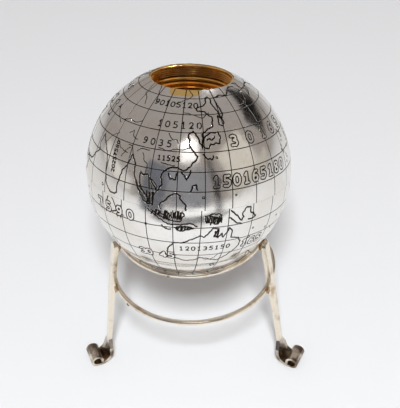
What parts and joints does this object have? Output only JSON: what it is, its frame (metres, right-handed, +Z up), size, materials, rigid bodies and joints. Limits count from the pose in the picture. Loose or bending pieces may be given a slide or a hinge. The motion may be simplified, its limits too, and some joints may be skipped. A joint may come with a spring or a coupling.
{
  "type": "globe pot on a wire stand",
  "caption": "Silver pot shaped as an engraved terrestrial globe with an open gilt mouth, resting loose in the ring of a wire tripod; it turns, and its upper half lifts off.",
  "frame": {"origin": "on the table, under the middle of the bounding box", "axes": "+Z up; -Y towards the front, between the two front legs; +X to the right seen from the front"},
  "size_m": [0.0758, 0.0714, 0.1061],
  "materials": {
    "engraved_silver": "polished silver, engraved and oxidised in the cuts",
    "plain_silver": "polished silver",
    "gilding": "polished gilding",
    "stand_silver": "polished silver, warm with tarnish",
    "solder": "tarnished hard solder"
  },
  "bodies": {
    "stand": {"upper_ring": "stand_silver", "lower_ring": "stand_silver", "leg_front_left": "stand_silver", "leg_front_right": "stand_silver", "leg_rear": "stand_silver", "solder_upper_front_left": "solder", "solder_upper_front_right": "solder", "solder_upper_rear": "solder", "solder_lower_front_left": "solder", "solder_lower_front_right": "solder", "solder_lower_rear": "solder", "seam_bead_upper_ring": "solder", "seam_bead_lower_ring": "solder"},
    "lower_half": {"lower_shell": "engraved_silver", "lower_lining": "gilding", "bezel": "plain_silver"},
    "upper_half": {"upper_shell": "engraved_silver", "upper_lining": "gilding", "neck_collar": "gilding"}
  },
  "joints": [
    {"name": "globe_turn", "type": "hinge", "parent": "stand", "child": "lower_half", "pos_m": [0.00006, -0.00361, 0.0735], "axis": [0.05, 0.2897, 0.9558], "continuous": true},
    {"name": "upper_half_lift", "type": "slide", "parent": "lower_half", "child": "upper_half", "axis": [0.05, 0.2897, 0.9558], "range_m": [0, 0.04]}
  ]
}
